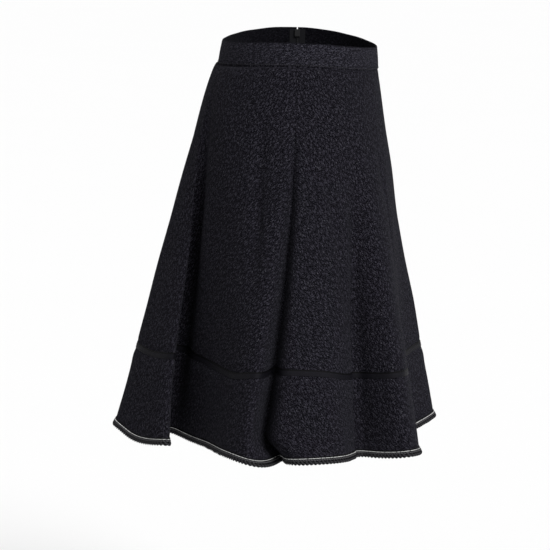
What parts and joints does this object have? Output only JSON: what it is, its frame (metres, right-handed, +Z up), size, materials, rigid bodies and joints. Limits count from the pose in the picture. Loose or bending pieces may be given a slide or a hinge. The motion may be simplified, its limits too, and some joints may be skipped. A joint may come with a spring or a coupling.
{
  "type": "a-line skirt",
  "caption": "Knee-length flared skirt in black boucle tweed, with a narrow waistband, a ribbon above the hem and a corded, braided hem edge, in its worn, hanging form.",
  "frame": {"origin": "middle of the waist at the top of the waistband, where the wearer's waist holds the skirt up", "axes": "+Z up along the body; the front faces -Y; the wearer's right is -X"},
  "size_m": [0.5118, 0.4298, 0.5302],
  "materials": {
    "tweed": "matt looped wool tweed with fine grey-blue flecks",
    "ribbon": "smooth dull ribbon",
    "piping": "matt off-white cord",
    "braid": "twisted black braid",
    "zip_tape": "woven black tape",
    "zip_chain": "nylon coil",
    "zip_enamel": "black enamel"
  },
  "bodies": {
    "skirt": {"waistband": "tweed", "panel_front": "tweed", "panel_back": "tweed", "trim_ribbon": "ribbon", "hem_piping": "piping", "hem_braid": "braid", "zip_tape_back": "zip_tape", "zip_tape_front": "zip_tape", "zip_chain": "zip_chain", "zip_slider": "zip_enamel"},
    "pull_tab": {"zip_pull": "zip_enamel"}
  },
  "joints": [
    {"name": "pull_swing", "type": "hinge", "parent": "skirt", "child": "pull_tab", "pos_m": [0.1273, 0, -0.00125], "axis": [0, -1, 0], "range_deg": [0, 160]}
  ]
}
